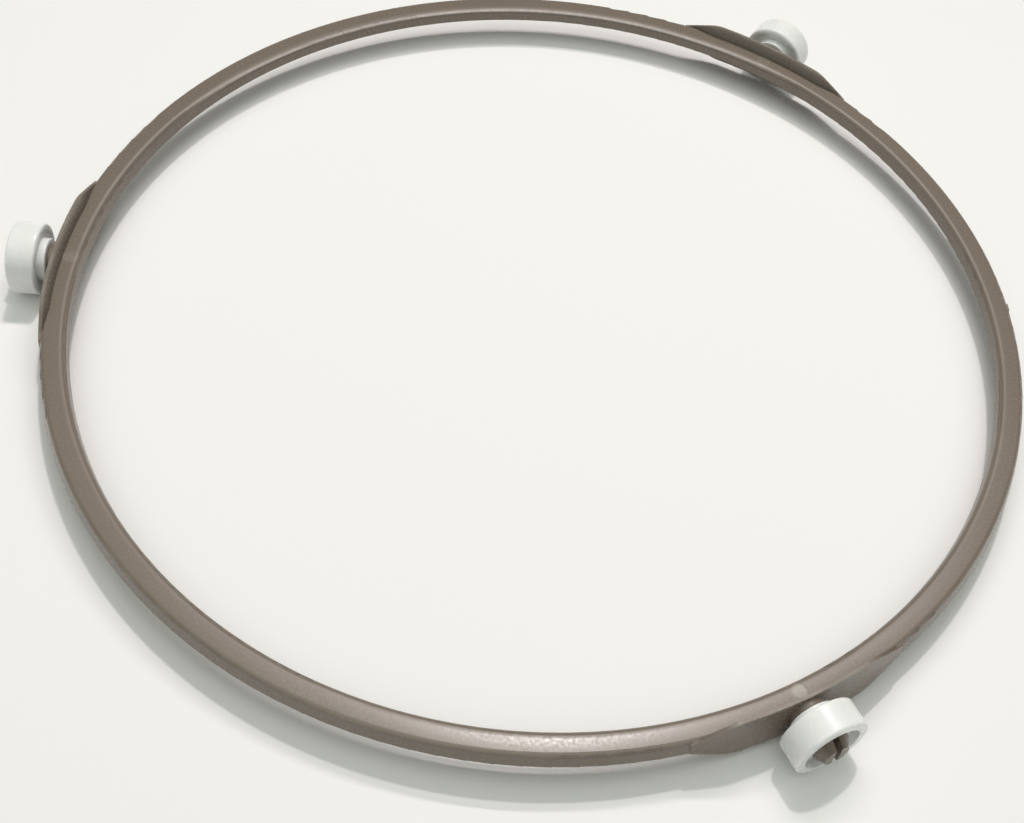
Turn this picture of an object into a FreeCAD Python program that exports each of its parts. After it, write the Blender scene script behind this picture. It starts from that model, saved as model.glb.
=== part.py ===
import FreeCAD, Part
import math
import os

# Roller ring that carries the glass tray of a microwave oven: a moulded ring with bracket plates
# and split snap axles in one piece, and a plain roller pushed onto each axle.
# Millimetres. +Z is up, and the origin is on the ring's axis at the floor that the rollers stand on.

# Layout
ROLLER_COUNT = 3
FIRST_ROLLER_AZIMUTH = 60.0

# Ring band, a flat-topped section with leaning walls
RING_OUTER_DIAMETER = 220.0
RING_WIDTH = 6.3
RING_HEIGHT = 3.4
RING_TOP_ABOVE_AXLE = 1.9
RING_OUTER_DRAFT = 0.8
RING_INNER_DRAFT = 0.6
RING_OUTER_ROUND = 1.0
RING_INNER_ROUND = 1.25
RING_BASE_ROUND = 0.3

# Bracket plates, which follow the ring's curve, stand above and below the band and thin away from it
PLATE_LENGTH = 48.6
PLATE_EDGE_LENGTH = 30.8
PLATE_RISE = 2.95
PLATE_DROP = 4.2
PLATE_END_STEP = 0.5
PLATE_TOP_INSET = 0.6
PLATE_FOOT_PROUD = 0.3
PLATE_TOP_THICKNESS = 0.65
PLATE_FOOT_THICKNESS = 1.6
PLATE_ROOT_DEPTH = 2.1
PLATE_CORNER_ROUND = 8.0

# Split snap axles
COLLAR_DIAMETER = 7.6
COLLAR_PROUD = 0.65
AXLE_DIAMETER = 6.4
AXLE_ROOT_DEPTH = 1.4
BARB_DIAMETER = 7.8
BARB_LAND = 0.9
TIP_DIAMETER = 5.4
TIP_LENGTH = 2.0
SLOT_WIDTH = 1.4
SLOT_DEPTH = 6.5

# Rollers
ROLLER_DIAMETER = 16.0
ROLLER_WIDTH = 6.2
ROLLER_EDGE_ROUND = 0.6
HUB_DIAMETER = 9.6
HUB_PROJECTION = 1.4
HUB_EDGE_ROUND = 0.3
FRONT_RIM_WALL = 2.0
FRONT_RECESS_DEPTH = 1.7
BACK_RIM_WALL = 1.2
BACK_RECESS_DEPTH = 0.5

# Fits
AXLE_CLEARANCE = 0.06
AXIAL_GAP = 0.25

# Moulding marks: a round ejector mark at each bracket and one trimmed gate stub on the outer wall
MARK_DIAMETER = 3.0
MARK_DEPTH = 0.08
MARK_FROM_OUTSIDE = 3.65
STUB_AZIMUTH = 6.3
STUB_LENGTH = 2.0
STUB_HEIGHT = 1.3
STUB_BELOW_TOP = 0.9
STUB_INSET = 0.25
STUB_ROOT_DEPTH = 1.5

# Levels above the floor
AXLE_HEIGHT = ROLLER_DIAMETER / 2
RING_TOP = AXLE_HEIGHT + RING_TOP_ABOVE_AXLE
RING_BASE = RING_TOP - RING_HEIGHT
PLATE_TOP = RING_TOP + PLATE_RISE
PLATE_FOOT = RING_BASE - PLATE_DROP

# Distances from the ring's axis, along an axle
RING_RADIUS = RING_OUTER_DIAMETER / 2
COLLAR_END = RING_RADIUS + COLLAR_PROUD
HUB_END = COLLAR_END + AXIAL_GAP
RIM_BACK = HUB_END + HUB_PROJECTION
RIM_FRONT = RIM_BACK + ROLLER_WIDTH
RECESS_FLOOR = RIM_FRONT - FRONT_RECESS_DEPTH
BARB_START = RECESS_FLOOR + AXIAL_GAP
BARB_END = BARB_START + BARB_LAND
AXLE_TIP = BARB_END + TIP_LENGTH

UP = FreeCAD.Vector(0, 0, 1)
OUTWARD = FreeCAD.Vector(1, 0, 0)
CENTRE = FreeCAD.Vector(0, 0, 0)
AXLE_POINT = FreeCAD.Vector(0, 0, AXLE_HEIGHT)


def face_in_section(points):
    """Flat face in the upright plane through the ring's axis, from (radius, height) points."""
    corners = [FreeCAD.Vector(radius, 0, height) for radius, height in points]
    return Part.Face(Part.makePolygon(corners + corners[:1]))


def turned_on_axle(points):
    """Solid turned about an axle from (distance from the ring's axis, radius) points."""
    profile = face_in_section([(along, AXLE_HEIGHT + radius) for along, radius in points])
    return profile.revolve(AXLE_POINT, OUTWARD, 360)


def circles_at(shape, axis_point, axis, radius, along):
    """Edges of a turned shape that are full circles of one radius, at one distance along the axis."""
    found = []
    for edge in shape.Edges:
        if not isinstance(edge.Curve, Part.Circle):
            continue
        same_radius = math.isclose(edge.Curve.Radius, radius, abs_tol=1e-6)
        same_place = math.isclose((edge.Curve.Center - axis_point).dot(axis), along, abs_tol=1e-6)
        if same_radius and same_place:
            found.append(edge)
    return found


def ring_band():
    inner_base = RING_RADIUS - RING_WIDTH
    inner_top = inner_base + RING_INNER_DRAFT
    outer_top = RING_RADIUS - RING_OUTER_DRAFT
    section = face_in_section([
        (inner_base, RING_BASE),
        (RING_RADIUS, RING_BASE),
        (outer_top, RING_TOP),
        (inner_top, RING_TOP),
    ])
    band = section.revolve(CENTRE, UP, 360)
    rounds = [
        (RING_INNER_ROUND, inner_top, RING_TOP),
        (RING_OUTER_ROUND, outer_top, RING_TOP),
        (RING_BASE_ROUND, inner_base, RING_BASE),
        (RING_BASE_ROUND, RING_RADIUS, RING_BASE),
    ]
    for size, radius, height in rounds:
        band = band.makeFillet(size, circles_at(band, CENTRE, UP, radius, height))
    return band


def plate_outline():
    """Prism with the plate's six-sided outline as seen from outside, its corners rounded."""
    half_length = PLATE_LENGTH / 2
    half_edge = PLATE_EDGE_LENGTH / 2
    outline = [
        (-half_length, RING_BASE),
        (-half_edge, PLATE_FOOT),
        (half_edge, PLATE_FOOT),
        (half_length, RING_BASE),
        (half_length, RING_TOP - PLATE_END_STEP),
        (half_edge, PLATE_TOP),
        (-half_edge, PLATE_TOP),
        (-half_length, RING_TOP - PLATE_END_STEP),
    ]
    corners = [FreeCAD.Vector(0, across, height) for across, height in outline]
    prism = Part.Face(Part.makePolygon(corners + corners[:1])).extrude(OUTWARD * RING_OUTER_DIAMETER)
    rounded = []
    for edge in prism.Edges:
        start, end = [vertex.Point for vertex in edge.Vertexes]
        runs_outward = math.isclose(abs(end.x - start.x), RING_OUTER_DIAMETER)
        if runs_outward and math.isclose(abs(start.y), half_edge):
            rounded.append(edge)
    return prism.makeFillet(PLATE_CORNER_ROUND, rounded)


def plate_outer_radius(height):
    """Radius of the plate's outer face, which leans from its foot in to its top edge."""
    lean = (PLATE_TOP_INSET + PLATE_FOOT_PROUD) / (PLATE_TOP - PLATE_FOOT)
    return RING_RADIUS - PLATE_TOP_INSET + lean * (PLATE_TOP - height)


def point_on_plate(radius, across, height):
    return FreeCAD.Vector(math.sqrt(radius ** 2 - across ** 2), across, height)


def end_relief(side):
    """Block that thins one end of a plate from inside, so that its sloping edge is as thin as its top."""
    half_edge = side * PLATE_EDGE_LENGTH / 2
    half_length = side * PLATE_LENGTH / 2
    end_height = RING_TOP - PLATE_END_STEP
    high = point_on_plate(plate_outer_radius(PLATE_TOP) - PLATE_TOP_THICKNESS, half_edge, PLATE_TOP)
    low = point_on_plate(plate_outer_radius(end_height) - PLATE_TOP_THICKNESS, half_length, end_height)
    root = point_on_plate(RING_RADIUS - PLATE_ROOT_DEPTH, half_edge, RING_TOP)
    along = low - high
    down = root - high

    def on_inner_face(share, height):
        start = high + along * share
        return start + down * ((start.z - height) / PLATE_RISE)

    above_plate = PLATE_TOP + PLATE_RISE
    inside_band = RING_TOP - RING_HEIGHT / 2
    corners = [
        on_inner_face(-1, above_plate),
        on_inner_face(2, above_plate),
        on_inner_face(2, inside_band),
        on_inner_face(-1, inside_band),
    ]
    inward = along.cross(down) * side
    inward.normalize()
    return Part.Face(Part.makePolygon(corners + corners[:1])).extrude(inward * RING_WIDTH)


def bracket_plate():
    root = RING_RADIUS - PLATE_ROOT_DEPTH
    section = face_in_section([
        (plate_outer_radius(PLATE_FOOT) - PLATE_FOOT_THICKNESS, PLATE_FOOT),
        (plate_outer_radius(PLATE_FOOT), PLATE_FOOT),
        (plate_outer_radius(PLATE_TOP), PLATE_TOP),
        (plate_outer_radius(PLATE_TOP) - PLATE_TOP_THICKNESS, PLATE_TOP),
        (root, RING_TOP),
        (root, RING_BASE),
    ])
    ring_inner_radius = RING_RADIUS - RING_WIDTH
    half_turn = math.degrees(math.asin(PLATE_LENGTH / 2 / ring_inner_radius))
    section.rotate(CENTRE, UP, -half_turn)
    curved = section.revolve(CENTRE, UP, 2 * half_turn)
    return curved.common(plate_outline()).cut([end_relief(-1), end_relief(1)])


def snap_axle():
    """Collar, axle and barbed head, split by an upright slot so that the head can close."""
    root = RING_RADIUS - AXLE_ROOT_DEPTH
    stub = turned_on_axle([
        (root, 0),
        (root, COLLAR_DIAMETER / 2),
        (COLLAR_END, COLLAR_DIAMETER / 2),
        (COLLAR_END, AXLE_DIAMETER / 2),
        (BARB_START, AXLE_DIAMETER / 2),
        (BARB_START, BARB_DIAMETER / 2),
        (BARB_END, BARB_DIAMETER / 2),
        (AXLE_TIP, TIP_DIAMETER / 2),
        (AXLE_TIP, 0),
    ])
    slot_corner = FreeCAD.Vector(AXLE_TIP - SLOT_DEPTH, -SLOT_WIDTH / 2, AXLE_HEIGHT - BARB_DIAMETER)
    slot = Part.makeBox(SLOT_DEPTH, SLOT_WIDTH, 2 * BARB_DIAMETER, slot_corner)
    return stub.cut(slot)


def roller():
    """Cup-shaped roller: a rim, a web and a hub that runs on the axle."""
    bore = AXLE_DIAMETER / 2 + AXLE_CLEARANCE
    rim = ROLLER_DIAMETER / 2
    hub = HUB_DIAMETER / 2
    wheel = turned_on_axle([
        (HUB_END, bore),
        (HUB_END, hub),
        (RIM_BACK + BACK_RECESS_DEPTH, hub),
        (RIM_BACK + BACK_RECESS_DEPTH, rim - BACK_RIM_WALL),
        (RIM_BACK, rim - BACK_RIM_WALL),
        (RIM_BACK, rim),
        (RIM_FRONT, rim),
        (RIM_FRONT, rim - FRONT_RIM_WALL),
        (RECESS_FLOOR, rim - FRONT_RIM_WALL),
        (RECESS_FLOOR, bore),
    ])
    rim_edges = circles_at(wheel, AXLE_POINT, OUTWARD, rim, RIM_BACK)
    rim_edges += circles_at(wheel, AXLE_POINT, OUTWARD, rim, RIM_FRONT)
    wheel = wheel.makeFillet(ROLLER_EDGE_ROUND, rim_edges)
    hub_edge = circles_at(wheel, AXLE_POINT, OUTWARD, hub, HUB_END)
    return wheel.makeFillet(HUB_EDGE_ROUND, hub_edge)


def ejector_mark():
    middle = FreeCAD.Vector(RING_RADIUS - MARK_FROM_OUTSIDE, 0, RING_TOP - MARK_DEPTH)
    return Part.makeCylinder(MARK_DIAMETER / 2, RING_HEIGHT, middle, UP)


def gate_stub():
    inner = RING_RADIUS - STUB_INSET - STUB_ROOT_DEPTH
    corner = FreeCAD.Vector(inner, -STUB_LENGTH / 2, RING_TOP - STUB_BELOW_TOP - STUB_HEIGHT)
    return Part.makeBox(STUB_ROOT_DEPTH, STUB_LENGTH, STUB_HEIGHT, corner)


def at_azimuth(shape, azimuth):
    """Copy of a shape made at azimuth 0, turned about the ring's axis."""
    turned = shape.copy()
    turned.rotate(CENTRE, UP, azimuth)
    return turned


def ring(azimuths):
    """The whole moulding: band, plates and axles in one solid, with its moulding marks."""
    bracket = bracket_plate().fuse(snap_axle())
    added = [at_azimuth(bracket, azimuth) for azimuth in azimuths]
    added.append(at_azimuth(gate_stub(), STUB_AZIMUTH))
    marks = [at_azimuth(ejector_mark(), azimuth) for azimuth in azimuths]
    return ring_band().cut(marks).fuse(added).removeSplitter()


def only_solid(shape):
    """The one solid of a finished piece, free of the compound that cutting leaves round it."""
    (solid,) = shape.Solids
    return solid


def main():
    os.makedirs("parts", exist_ok=True)
    spacing = 360 / ROLLER_COUNT
    azimuths = [FIRST_ROLLER_AZIMUTH + spacing * index for index in range(ROLLER_COUNT)]
    only_solid(ring(azimuths)).exportStep("parts/ring.step")
    wheel = only_solid(roller())
    for number, azimuth in enumerate(azimuths, start=1):
        at_azimuth(wheel, azimuth).exportStep(f"parts/roller_{number}.step")


main()
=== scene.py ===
import math

import bpy
from mathutils import Matrix, Vector


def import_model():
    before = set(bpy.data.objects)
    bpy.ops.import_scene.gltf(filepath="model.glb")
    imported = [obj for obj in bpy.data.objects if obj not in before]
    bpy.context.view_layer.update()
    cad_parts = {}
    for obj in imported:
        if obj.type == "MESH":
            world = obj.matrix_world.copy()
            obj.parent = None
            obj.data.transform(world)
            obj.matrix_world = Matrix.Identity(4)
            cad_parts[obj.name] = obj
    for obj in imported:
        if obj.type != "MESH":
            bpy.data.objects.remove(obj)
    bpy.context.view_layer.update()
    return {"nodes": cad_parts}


# Looks of the roller ring: plastics, floor, light and camera. Metres, in the frame of the solids.

IMAGE_WIDTH = 1024
IMAGE_HEIGHT = 823

# Camera, from the ring's ellipses and the brackets in the photograph
CAMERA_PLACE = Vector((-0.0066, -0.2210, 0.2609))
CAMERA_PAN = 0.0938
CAMERA_TILT = 0.883
CAMERA_ROLL = -0.163
FOCAL_PIXELS = 1473.4
AXIS_PIXEL = (600.3, 358.7)
SENSOR_WIDTH = 36
NEAREST_VISIBLE = 0.01

# Floor, and two lamps behind the ring: a far one and a near strip, which together give its double shadow
FLOOR_SIZE = 30.0
FLOOR_COLOUR = (0.90, 0.90, 0.90, 1)
FLOOR_ROUGHNESS = 0.9
FLOOR_SHINE = 0.0
FAR_LAMP = {"place": (0.15, 1.20, 2.63), "aim": (0, 0, 0), "width": 0.14, "height": 0.14, "power": 22.5}
STRIP_LAMP = {"place": (0.05, 0.29, 0.60), "aim": (0, -1.6, 0), "width": 0.50, "height": 0.025, "power": 1.82}
LAMP_COLOUR = (1.0, 0.93, 0.913)

# Pale room: bright overhead, dim half way down, and about as pale as the far floor along the horizon
ROOM_COLOUR = (0.963, 1.0, 0.926, 1)
CEILING_GLOW = 1.58
CEILING_FALL = 4
CEILING_DIRECTION = (0.0, -0.15, 0.989)
ROOM_GLOW = 0.02
HORIZON_GLOW = 0.44
HORIZON_RISE = (0.04, 0.16)

# Heights of the band's top and of the plates' tops
RING_TOP = 0.0099
PLATE_TOP = 0.01285

# Rounds beside the band's top: the circle of each one's middle, its size, where it meets the wall, its side
INNER_ROUND = {"radius": 0.10535, "height": 0.00865, "size": 0.00125, "lowest": 0.00887, "side": -1}
OUTER_ROUND = {"radius": 0.10841, "height": 0.00890, "size": 0.00100, "lowest": 0.00913, "side": 1}

# Width over which a round's own direction sets in, and depths outside the round over which it ends
ROUND_BLEND = 0.0001
ROUND_SKIN = (0.00002, 0.00007)

# The band's top falls away slightly outwards, from one radius to its outer edge
FALL_START_RADIUS = 0.1060
FALL_CURVE = 0.070

# Upper part of the inner round, which is duller, and the stretch of it where a highlight line lies: there it
# turns down late, and its edge gets a painted highlight
DULL_ROUND_RADII = (0.1054, 0.1058)
DULL_ROUND_HEIGHTS = (RING_TOP - 0.0013, RING_TOP - 0.0006)
ROUND_DULLING = 0.12
HIGHLIGHT_STRETCH_DIRECTION = (-0.225, 0.974, 0.0)
HIGHLIGHT_STRETCH_REACH = (0.0685, 0.0877)
ROUND_LEVELLING = 2.3

# Pale places on the band and plates: a painted highlight on the inner edge of the band's top; wear mixed with
# painted highlight on its outer edge and on the plates' tops; a pale spot on one plate's corner
INNER_EDGE_RADIUS = 0.1044
INNER_EDGE_HIGHLIGHT = 0.3
OUTER_EDGE_RADIUS = 0.1091
EDGE_HALF_WIDTH = 0.0004
OUTER_EDGE_HEIGHT = RING_TOP - 0.0003
OUTER_EDGE_HALF_HEIGHT = 0.0005
PLATE_TOP_RISE = (PLATE_TOP - 0.0009, PLATE_TOP - 0.0002)
PALE_PATCH_SIZE = 0.006
PALE_PATCH_NOISE = (0.35, 0.7)
PALE_PATCH_SHARES = (0.2, 0.6)
PALE_SPOT_PLACE = (0.0410, -0.1013, PLATE_TOP)
PALE_SPOT_FADE = (0.0003, 0.0010)

# Ejector marks by azimuth, and how pale each one's disc is
MARK_CIRCLE_RADIUS = 0.10635
MARK_RADIUS = 0.0015
MARK_DISC_FADE = (0.85 * MARK_RADIUS, 1.1 * MARK_RADIUS)
MARK_RIM_HALF_WIDTH = 0.2 * MARK_RADIUS
MARK_RIM_HIGHLIGHT = 0.5
MARK_PALENESS = {60: 0.15, 180: 0.25, 300: 0.9}

# Painted shade in the corner at the foot of each plate's inner face, and on the collars and axles
CORNER_RISE = (RING_TOP + 0.0001, RING_TOP + 0.0003)
CORNER_FADE = (RING_TOP + 0.0003, PLATE_TOP - 0.0003)
CORNER_SHADE = 0.6
PLATE_INNER_FACE = (0.1092, 0.1096)
COLLAR_RISE = (0.1103, 0.1106)
AXLE_RADII = (0.1115, 0.1180)
AXLE_SHADE = (0.45, 0.25)

# The ring's plastic: colours, clouds in them, and a fine mottle in its roughness and surface
RING_COLOUR = (0.199, 0.161, 0.131, 1)
RING_DARK_COLOUR = (0.189, 0.153, 0.124, 1)
# Pale colour of wear and of painted highlights
RING_WEAR_AND_HIGHLIGHT_COLOUR = (0.33, 0.30, 0.26, 1)
# Dark colour of painted shade
RING_PAINTED_SHADE_COLOUR = (0.085, 0.074, 0.058, 1)
RING_CLOUD_SIZE = 0.03
RING_CLOUD_NOISE = (0.35, 0.65)
MOTTLE_SIZE = 0.0007
RING_ROUGHNESS = (0.22, 0.30)
RING_SHINE = 0.5
RING_GRAIN_DEPTH = 0.00003
RING_GRAIN_STRENGTH = 0.1
RING_GRAIN_HEIGHTS = (RING_TOP - 0.0006, RING_TOP)
RING_GRAIN_SHARES = (0.03, 1)

# The rollers' plastic: colours, clouds, a tread run dull in patches, a fine grain, and light that enters it
ROLLER_COLOUR = (0.875, 0.89, 0.885, 1)
ROLLER_DULL_COLOUR = (0.83, 0.845, 0.835, 1)
ROLLER_CLOUD_SIZE = 0.005
ROLLER_CLOUD_NOISE = (0.4, 0.75)
TREAD_RADIUS = 0.1155
TREAD_HALF_WIDTH = 0.0028
TREAD_PATCH_SIZE = 0.002
TREAD_PATCH_NOISE = (0.4, 0.7)
TREAD_DULLING = 0.5
TREAD_ROUGHENING = 0.08
ROLLER_ROUGHNESS = (0.21, 0.31)
ROLLER_GRAIN_SIZE = 0.0004
ROLLER_GRAIN_DEPTH = 0.00002
ROLLER_GRAIN_STRENGTH = 0.15
LIGHT_ENTERING = 0.4
LIGHT_REACH = 0.0015
LIGHT_REACH_BY_COLOUR = (1.0, 0.95, 0.85)

# Both plastics: how finely the clouds are broken up, and the part of a noise that is spread over a roughness
CLOUD_DETAIL = 3.0
ROUGHNESS_NOISE = (0.3, 0.7)


def camera_axes():
    """The picture's right and down and the camera's forward, as directions in the frame."""
    forward = Vector((
        math.sin(CAMERA_PAN) * math.cos(CAMERA_TILT),
        math.cos(CAMERA_PAN) * math.cos(CAMERA_TILT),
        -math.sin(CAMERA_TILT),
    ))
    level = Vector((math.cos(CAMERA_PAN), -math.sin(CAMERA_PAN), 0))
    steep = forward.cross(level)
    right = math.cos(CAMERA_ROLL) * level + math.sin(CAMERA_ROLL) * steep
    down = math.cos(CAMERA_ROLL) * steep - math.sin(CAMERA_ROLL) * level
    return right, down, forward


def add_camera():
    data = bpy.data.cameras.new("camera")
    data.sensor_width = SENSOR_WIDTH
    data.lens = FOCAL_PIXELS / IMAGE_WIDTH * SENSOR_WIDTH
    data.shift_x = (IMAGE_WIDTH / 2 - AXIS_PIXEL[0]) / IMAGE_WIDTH
    data.shift_y = (AXIS_PIXEL[1] - IMAGE_HEIGHT / 2) / IMAGE_WIDTH
    data.clip_start = NEAREST_VISIBLE
    camera = bpy.data.objects.new("camera", data)
    right, down, forward = camera_axes()
    turn = Matrix((right, -down, -forward)).transposed()
    camera.matrix_world = Matrix.Translation(CAMERA_PLACE) @ turn.to_4x4()
    bpy.context.scene.collection.objects.link(camera)
    bpy.context.scene.camera = camera


def add_lamp(name, lamp):
    data = bpy.data.lights.new(name, "AREA")
    data.shape = "ELLIPSE"
    data.size = lamp["width"]
    data.size_y = lamp["height"]
    data.energy = lamp["power"]
    data.color = LAMP_COLOUR
    item = bpy.data.objects.new(name, data)
    item.location = lamp["place"]
    beam = Vector(lamp["aim"]) - item.location
    item.rotation_euler = beam.to_track_quat("-Z", "Y").to_euler()
    bpy.context.scene.collection.objects.link(item)


class Nodes:
    """A node tree and the vector that its places are read from, with short calls for nodes that repeat."""

    def __init__(self, tree, coordinate):
        self.tree = tree
        self.place = self.add("ShaderNodeTexCoord").outputs[coordinate]

    def add(self, kind):
        return self.tree.nodes.new(kind)

    def feed(self, socket, value):
        """Sets a socket to a written value, or links it to another node's output."""
        if isinstance(value, bpy.types.NodeSocket):
            self.tree.links.new(value, socket)
        else:
            socket.default_value = value

    def math(self, operation, first, second=0):
        node = self.add("ShaderNodeMath")
        node.operation = operation
        self.feed(node.inputs[0], first)
        self.feed(node.inputs[1], second)
        return node.outputs["Value"]

    def product(self, first, *others):
        for other in others:
            first = self.math("MULTIPLY", first, other)
        return first

    def vector_node(self, operation, first, second=None):
        node = self.add("ShaderNodeVectorMath")
        node.operation = operation
        self.feed(node.inputs[0], first)
        if second is not None:
            self.feed(node.inputs[1], second)
        return node

    def vector(self, operation, first, second=None):
        """Vector made from one or two vectors."""
        return self.vector_node(operation, first, second).outputs["Vector"]

    def measure(self, operation, first, second=None):
        """Number made from one or two vectors."""
        return self.vector_node(operation, first, second).outputs["Value"]

    def scaled(self, vector, factor):
        node = self.vector_node("SCALE", vector)
        self.feed(node.inputs["Scale"], factor)
        return node.outputs["Vector"]

    def upwards(self, length):
        """Vector straight up."""
        node = self.add("ShaderNodeCombineXYZ")
        self.feed(node.inputs["Z"], length)
        return node.outputs["Vector"]

    def reach(self, direction):
        """How far a place lies in a direction."""
        return self.measure("DOT_PRODUCT", self.place, direction)

    def away(self, point):
        """How far a place lies from a point."""
        return self.measure("DISTANCE", self.place, point)

    def level_place(self):
        """A place without its height."""
        return self.vector("MULTIPLY", self.place, (1, 1, 0))

    def remap(self, value, low, high, new_low, new_high):
        """A value's range spread over another range, and held at its ends."""
        node = self.add("ShaderNodeMapRange")
        node.inputs["From Min"].default_value = low
        node.inputs["From Max"].default_value = high
        node.inputs["To Min"].default_value = new_low
        node.inputs["To Max"].default_value = new_high
        self.feed(node.inputs["Value"], value)
        return node.outputs["Result"]

    def band(self, value, middle, half_width):
        """1 where a value is at the middle of a band, falling to 0 at its sides."""
        off = self.math("ABSOLUTE", self.math("SUBTRACT", value, middle))
        return self.remap(off, 0, half_width, 1, 0)

    def noise(self, feature_size, detail=2.0):
        """Cloudy noise from 0 to 1, whose patches are about feature_size metres wide."""
        node = self.add("ShaderNodeTexNoise")
        node.inputs["Scale"].default_value = 1 / feature_size
        node.inputs["Detail"].default_value = detail
        self.feed(node.inputs["Vector"], self.place)
        return node.outputs["Fac"]

    def mix(self, share, first, second):
        """Colour between two colours."""
        node = self.add("ShaderNodeMix")
        node.data_type = "RGBA"
        sockets = {socket.name: socket for socket in node.inputs if socket.type == "RGBA"}
        self.feed(node.inputs["Factor"], share)
        self.feed(sockets["A"], first)
        self.feed(sockets["B"], second)
        return [socket for socket in node.outputs if socket.type == "RGBA"][0]

    def bump(self, height, depth, strength, normal=None):
        """Surface direction with a relief of a given depth on it."""
        node = self.add("ShaderNodeBump")
        node.inputs["Distance"].default_value = depth
        node.inputs["Strength"].default_value = strength
        self.feed(node.inputs["Height"], height)
        if normal is not None:
            self.feed(node.inputs["Normal"], normal)
        return node.outputs["Normal"]


def add_room():
    """Glow of the room, all round the floor."""
    world = bpy.data.worlds.new("room")
    world.use_nodes = True
    nodes = Nodes(world.node_tree, "Generated")
    overhead = nodes.math("MAXIMUM", nodes.reach(CEILING_DIRECTION), 0)
    ceiling = nodes.product(nodes.math("POWER", overhead, CEILING_FALL), CEILING_GLOW)
    walls = nodes.remap(nodes.reach((0, 0, 1)), *HORIZON_RISE, HORIZON_GLOW, ROOM_GLOW)
    background = world.node_tree.nodes["Background"]
    background.inputs["Color"].default_value = ROOM_COLOUR
    nodes.feed(background.inputs["Strength"], nodes.math("ADD", ceiling, walls))
    bpy.context.scene.world = world


def new_material(name):
    """A material, its nodes and its shader."""
    material = bpy.data.materials.new(name)
    material.use_nodes = True
    return material, Nodes(material.node_tree, "Object"), material.node_tree.nodes["Principled BSDF"]


def add_floor():
    half = FLOOR_SIZE / 2
    mesh = bpy.data.meshes.new("floor")
    corners = [(-half, -half, 0), (half, -half, 0), (half, half, 0), (-half, half, 0)]
    mesh.from_pydata(corners, [], [(0, 1, 2, 3)])
    material, _, shader = new_material("floor")
    shader.inputs["Base Color"].default_value = FLOOR_COLOUR
    shader.inputs["Roughness"].default_value = FLOOR_ROUGHNESS
    shader.inputs["Specular IOR Level"].default_value = FLOOR_SHINE
    mesh.materials.append(material)
    floor = bpy.data.objects.new("floor", mesh)
    bpy.context.scene.collection.objects.link(floor)


class RingPlaces:
    """Places on the ring that its material reads: how far out, how high, the way out, and the inner round."""

    def __init__(self, nodes):
        level = nodes.level_place()
        self.radius = nodes.measure("LENGTH", level)
        self.outwards = nodes.vector("NORMALIZE", level)
        self.height = nodes.reach((0, 0, 1))
        inside = nodes.remap(self.radius, *DULL_ROUND_RADII, 1, 0)
        upper = nodes.remap(self.height, *DULL_ROUND_HEIGHTS, 0, 1)
        self.inner_round = nodes.product(inside, upper)
        stretch = nodes.remap(nodes.reach(HIGHLIGHT_STRETCH_DIRECTION), *HIGHLIGHT_STRETCH_REACH, 0, 1)
        self.highlight_round = nodes.product(self.inner_round, stretch)


def edge_wear_and_highlights(nodes, ring):
    """Share of paleness: a painted highlight on the inner edge of the ring's top, wear mixed with painted
    highlight on its outer edge and the plates' tops, and a pale spot on one plate's corner.
    """
    inner = nodes.band(ring.radius, INNER_EDGE_RADIUS, EDGE_HALF_WIDTH)
    inner = nodes.product(inner, ring.highlight_round, INNER_EDGE_HIGHLIGHT)
    outer = nodes.band(ring.radius, OUTER_EDGE_RADIUS, EDGE_HALF_WIDTH)
    outer = nodes.product(outer, nodes.band(ring.height, OUTER_EDGE_HEIGHT, OUTER_EDGE_HALF_HEIGHT))
    plate_tops = nodes.remap(ring.height, *PLATE_TOP_RISE, 0, 1)
    patches = nodes.remap(nodes.noise(PALE_PATCH_SIZE), *PALE_PATCH_NOISE, *PALE_PATCH_SHARES)
    patchy = nodes.product(nodes.math("MAXIMUM", outer, plate_tops), patches)
    pale_spot = nodes.remap(nodes.away(PALE_SPOT_PLACE), *PALE_SPOT_FADE, 1, 0)
    return nodes.math("MAXIMUM", nodes.math("MAXIMUM", inner, patchy), pale_spot)


def ejector_mark(nodes, azimuth, paleness):
    """Share of paleness on the disc of one ejector mark, and a painted highlight along its rim."""
    turn = math.radians(azimuth)
    away = nodes.away((MARK_CIRCLE_RADIUS * math.cos(turn), MARK_CIRCLE_RADIUS * math.sin(turn), RING_TOP))
    disc = nodes.remap(away, *MARK_DISC_FADE, paleness, 0)
    rim = nodes.product(nodes.band(away, MARK_RADIUS, MARK_RIM_HALF_WIDTH), MARK_RIM_HIGHLIGHT)
    return nodes.math("MAXIMUM", disc, rim)


def painted_shade(nodes, ring):
    """Share of painted shade in the corner where a plate stands on the ring's top, and on the collars and
    axles.
    """
    above = nodes.remap(ring.height, *CORNER_RISE, 0, 1)
    fading = nodes.remap(ring.height, *CORNER_FADE, CORNER_SHADE, 0)
    inner_face = nodes.remap(ring.radius, *PLATE_INNER_FACE, 1, 0)
    collar = nodes.remap(ring.radius, *COLLAR_RISE, 0, 1)
    axle = nodes.product(collar, nodes.remap(ring.radius, *AXLE_RADII, *AXLE_SHADE))
    return nodes.math("MAXIMUM", nodes.product(above, fading, inner_face), axle)


def round_direction(nodes, ring, direction, shape):
    """A surface direction with one round's own, straight out from its middle, in place of its facets'."""
    across = nodes.math("SUBTRACT", ring.radius, shape["radius"])
    rise = nodes.math("SUBTRACT", ring.height, shape["height"])
    out = nodes.vector("ADD", nodes.scaled(ring.outwards, across), nodes.upwards(rise))
    beside = nodes.remap(nodes.product(across, shape["side"]), 0, ROUND_BLEND, 0, 1)
    above = nodes.remap(ring.height, shape["lowest"] - ROUND_BLEND, shape["lowest"], 0, 1)
    skin = [shape["size"] + depth for depth in ROUND_SKIN]
    within = nodes.remap(nodes.measure("LENGTH", out), *skin, 1, 0)
    change = nodes.vector("SUBTRACT", nodes.vector("NORMALIZE", out), direction)
    return nodes.vector("ADD", direction, nodes.scaled(change, nodes.product(beside, above, within)))


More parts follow.
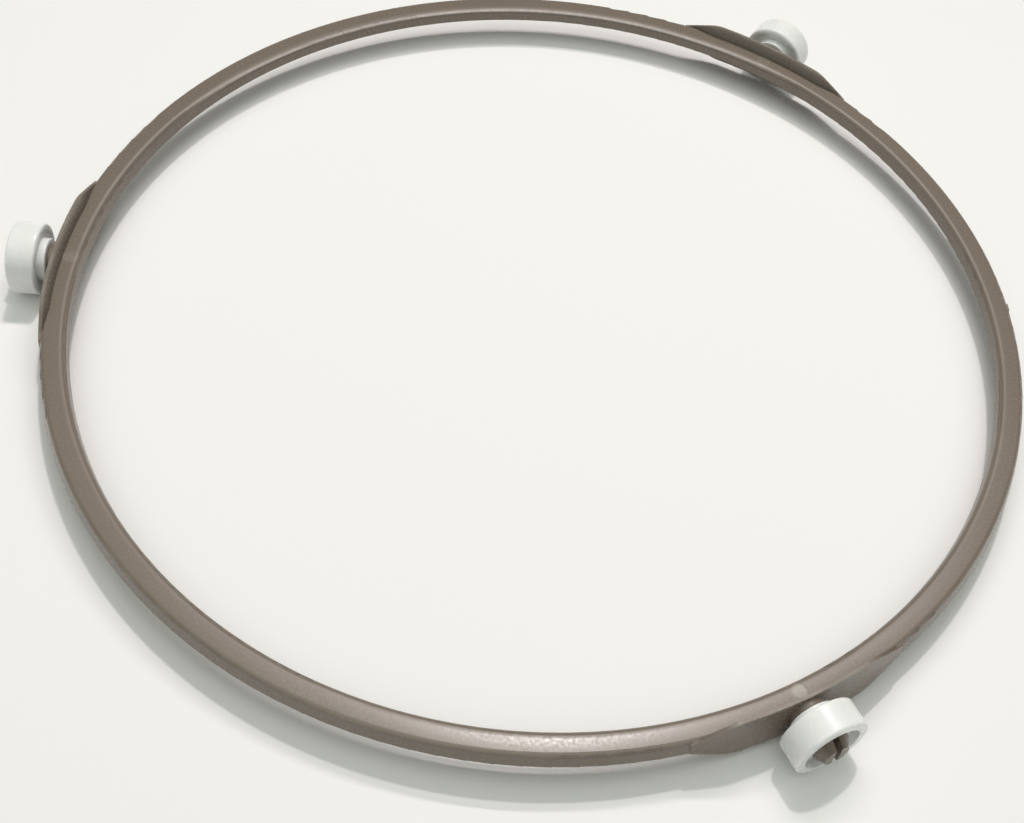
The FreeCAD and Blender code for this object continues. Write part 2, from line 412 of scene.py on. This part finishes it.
def top_direction(nodes, ring):
    """The ring's surface direction: even rounds, a top falling outwards, and an inner round that turns late
    where its highlight line lies.
    """
    normal = nodes.add("ShaderNodeNewGeometry").outputs["Normal"]
    for shape in (INNER_ROUND, OUTER_ROUND):
        normal = round_direction(nodes, ring, normal, shape)
    most_fall = (OUTER_EDGE_RADIUS - FALL_START_RADIUS) / FALL_CURVE
    fall = nodes.remap(ring.radius, FALL_START_RADIUS, OUTER_EDGE_RADIUS, 0, most_fall)
    normal = nodes.vector("ADD", normal, nodes.scaled(ring.outwards, fall))
    levelling = nodes.product(ring.highlight_round, ROUND_LEVELLING)
    normal = nodes.vector("ADD", normal, nodes.upwards(levelling))
    return nodes.vector("NORMALIZE", normal)


def ring_plastic():
    """Taupe satin moulding: faint clouds, a fine grain that breaks up the shine, pale edges that are wear
    mixed with painted highlight, and painted shade in corners and on axles.
    """
    material, nodes, shader = new_material("ring_plastic")
    ring = RingPlaces(nodes)
    clouds = nodes.noise(RING_CLOUD_SIZE, CLOUD_DETAIL)
    mottle = nodes.noise(MOTTLE_SIZE)
    colour = nodes.mix(nodes.remap(clouds, *RING_CLOUD_NOISE, 0, 1), RING_COLOUR, RING_DARK_COLOUR)
    # Pale: wear and painted highlights on the edges, and on each ejector mark a pale disc with a painted
    # highlight along its rim
    pale = edge_wear_and_highlights(nodes, ring)
    for azimuth, paleness in MARK_PALENESS.items():
        pale = nodes.math("MAXIMUM", pale, ejector_mark(nodes, azimuth, paleness))
    colour = nodes.mix(pale, colour, RING_WEAR_AND_HIGHLIGHT_COLOUR)
    # Painted shade in the plates' corners and on the collars and axles
    colour = nodes.mix(painted_shade(nodes, ring), colour, RING_PAINTED_SHADE_COLOUR)
    satin = nodes.remap(mottle, *ROUGHNESS_NOISE, *RING_ROUGHNESS)
    dull = nodes.product(ring.inner_round, ROUND_DULLING)
    grain = nodes.product(mottle, nodes.remap(ring.height, *RING_GRAIN_HEIGHTS, *RING_GRAIN_SHARES))
    normal = nodes.bump(grain, RING_GRAIN_DEPTH, RING_GRAIN_STRENGTH, top_direction(nodes, ring))
    nodes.feed(shader.inputs["Base Color"], colour)
    nodes.feed(shader.inputs["Roughness"], nodes.math("ADD", satin, dull))
    nodes.feed(shader.inputs["Normal"], normal)
    shader.inputs["Specular IOR Level"].default_value = RING_SHINE
    return material


def roller_plastic():
    """White moulding that light enters a little, with faint clouds and a tread that is run slightly dull."""
    material, nodes, shader = new_material("roller_plastic")
    tread = nodes.band(nodes.measure("LENGTH", nodes.level_place()), TREAD_RADIUS, TREAD_HALF_WIDTH)
    clouds = nodes.noise(ROLLER_CLOUD_SIZE, CLOUD_DETAIL)
    grain = nodes.noise(ROLLER_GRAIN_SIZE)
    patches = nodes.remap(nodes.noise(TREAD_PATCH_SIZE), *TREAD_PATCH_NOISE, 0, TREAD_DULLING)
    run = nodes.product(tread, patches)
    dull = nodes.math("MAXIMUM", nodes.remap(clouds, *ROLLER_CLOUD_NOISE, 0, 1), run)
    satin = nodes.remap(clouds, *ROUGHNESS_NOISE, *ROLLER_ROUGHNESS)
    rough = nodes.math("ADD", satin, nodes.product(run, TREAD_ROUGHENING))
    nodes.feed(shader.inputs["Base Color"], nodes.mix(dull, ROLLER_COLOUR, ROLLER_DULL_COLOUR))
    nodes.feed(shader.inputs["Roughness"], rough)
    nodes.feed(shader.inputs["Normal"], nodes.bump(grain, ROLLER_GRAIN_DEPTH, ROLLER_GRAIN_STRENGTH))
    shader.inputs["Subsurface Weight"].default_value = LIGHT_ENTERING
    shader.inputs["Subsurface Radius"].default_value = LIGHT_REACH_BY_COLOUR
    shader.inputs["Subsurface Scale"].default_value = LIGHT_REACH
    return material


def paint(node, material):
    for slot in node.material_slots:
        slot.material = material


def main():
    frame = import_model()
    bpy.context.scene.view_settings.view_transform = "Standard"
    add_camera()
    add_room()
    add_lamp("far_lamp", FAR_LAMP)
    add_lamp("strip_lamp", STRIP_LAMP)
    add_floor()
    ring_material = ring_plastic()
    roller_material = roller_plastic()
    for name, node in frame["nodes"].items():
        paint(node, ring_material if name == "ring" else roller_material)


main()
